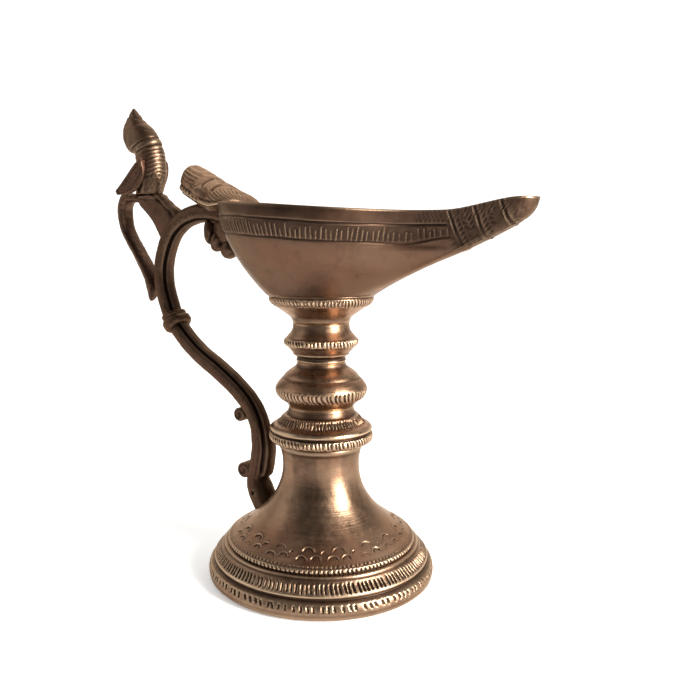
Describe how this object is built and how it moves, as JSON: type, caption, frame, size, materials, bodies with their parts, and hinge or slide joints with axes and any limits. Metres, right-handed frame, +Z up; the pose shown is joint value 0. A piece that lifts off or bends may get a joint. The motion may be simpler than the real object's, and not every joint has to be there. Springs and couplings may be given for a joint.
{
  "type": "oil lamp",
  "caption": "Standing brass oil lamp: turned foot and stem, boat-shaped bowl with a long banded spout, and a scrolled handle with a thumb crest and a bird.",
  "frame": {"origin": "on the floor, under the middle of the lamp's overall length; the turned axis is parallel to Z, towards the spout from the origin", "axes": "+X to the tip of the spout, +Z up, XZ is the plane of symmetry"},
  "size_m": [0.154, 0.07, 0.1485],
  "materials": {
    "brass": "satin, aged",
    "dark_brass": "satin, darkened with age",
    "steel": "plain"
  },
  "bodies": {
    "root": {"base_foot": "brass", "stem_collar": "brass", "stem_knop_middle": "brass", "stem_knop_upper": "brass", "bowl_cup": "brass", "bowl": "brass", "thumb_crest": "brass", "handle_foot_rivet": "brass", "handle_bowl_rivet": "brass", "drop_rivet": "brass", "crest_dowel": "brass", "bird_dowel": "brass", "bracket_dowel": "brass", "handle_scroll": "dark_brass", "handle_collar": "dark_brass", "handle_drop": "dark_brass", "bird_bracket": "dark_brass", "bird_body": "dark_brass", "bird_wing_left": "dark_brass", "bird_wing_right": "dark_brass", "bird_tail": "dark_brass", "tie_rod": "steel", "tie_washer": "steel", "tie_nut": "steel"}
  },
  "joints": []
}
